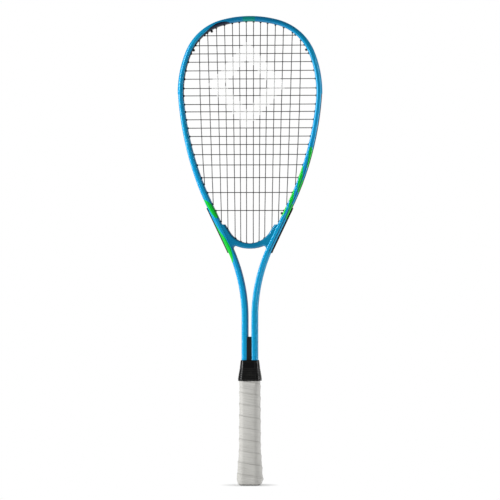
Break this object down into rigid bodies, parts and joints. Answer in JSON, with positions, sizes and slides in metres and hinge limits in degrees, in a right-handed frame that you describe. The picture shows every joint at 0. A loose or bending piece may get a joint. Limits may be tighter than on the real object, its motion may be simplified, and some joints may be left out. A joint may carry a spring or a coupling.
{
  "type": "squash racket",
  "caption": "Squash racket with a teardrop strung head, open throat, slim twin shafts, rubber collar and a wound pale grip flaring at the butt.",
  "frame": {"origin": "centre of the butt's flat end, at the foot of the handle", "axes": "+Z along the racket from the butt to the crown of the head; +X across the head; the string bed lies in the XZ plane and its front faces -Y"},
  "size_m": [0.2116, 0.0364, 0.685],
  "materials": {
    "frame_paint": "glossy lacquer over carbon composite",
    "bumper_nylon": "smooth moulded nylon",
    "strip_nylon": "satin moulded nylon",
    "string": "smooth coated string",
    "plug_plastic": "satin",
    "pallet_foam": "moulded foam skin",
    "cap_plastic": "fine texture",
    "staple_wire": "bright wire",
    "grip_tape": "soft tacky polyurethane",
    "tape_film": "vinyl tape",
    "collar_rubber": "ribbed satin rubber"
  },
  "bodies": {
    "root": {"frame_tube": "frame_paint", "throat_bridge": "frame_paint", "head_bumper": "bumper_nylon", "left_grommet_strip": "strip_nylon", "right_grommet_strip": "strip_nylon", "bridge_grommet_strip": "strip_nylon", "main_string": "string", "cross_string": "string", "main_string_knots": "string", "cross_string_knots": "string", "shaft_plug": "plug_plastic", "front_pallet": "pallet_foam", "back_pallet": "pallet_foam", "butt_cap": "cap_plastic", "butt_cap_staples": "staple_wire", "grip_wrap": "grip_tape", "finishing_tape": "tape_film", "grip_collar": "collar_rubber"}
  },
  "joints": []
}
